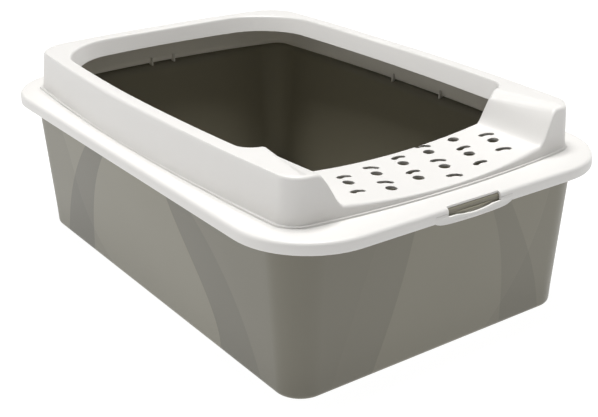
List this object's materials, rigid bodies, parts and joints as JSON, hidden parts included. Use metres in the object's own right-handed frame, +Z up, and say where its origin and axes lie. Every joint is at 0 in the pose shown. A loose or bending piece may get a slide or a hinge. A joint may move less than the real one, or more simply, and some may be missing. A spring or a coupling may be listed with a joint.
{
  "type": "litter tray with rim",
  "caption": "Deep open litter tray with a high clip-on rim, a low perforated entry step and springy latch tabs at both ends.",
  "frame": {"origin": "middle of the bounding box, on the floor under the tray", "axes": "+Z up; +Y from the entry step at the front towards the rear end; +X to the right seen from the front"},
  "size_m": [0.39, 0.5776, 0.207],
  "materials": {
    "white_plastic": "satin",
    "khaki_plastic": "satin"
  },
  "bodies": {
    "tray": {"tray": "khaki_plastic"},
    "rim": {"rim": "white_plastic"},
    "front_latch_tab": {"front_latch_tab": "white_plastic"},
    "rear_latch_tab": {"rear_latch_tab": "white_plastic"}
  },
  "joints": [
    {"name": "rim_lift", "type": "slide", "parent": "tray", "child": "rim", "axis": [0, 0, 1], "range_m": [0, 0.08]},
    {"name": "front_tab_flex", "type": "hinge", "parent": "rim", "child": "front_latch_tab", "pos_m": [0, -0.285, 0.1575], "axis": [-1, 0, 0], "range_deg": [0, 12], "stiffness_Nm_per_rad": 0.6},
    {"name": "rear_tab_flex", "type": "hinge", "parent": "rim", "child": "rear_latch_tab", "pos_m": [0, 0.285, 0.1575], "axis": [1, 0, 0], "range_deg": [0, 12], "stiffness_Nm_per_rad": 0.6}
  ]
}
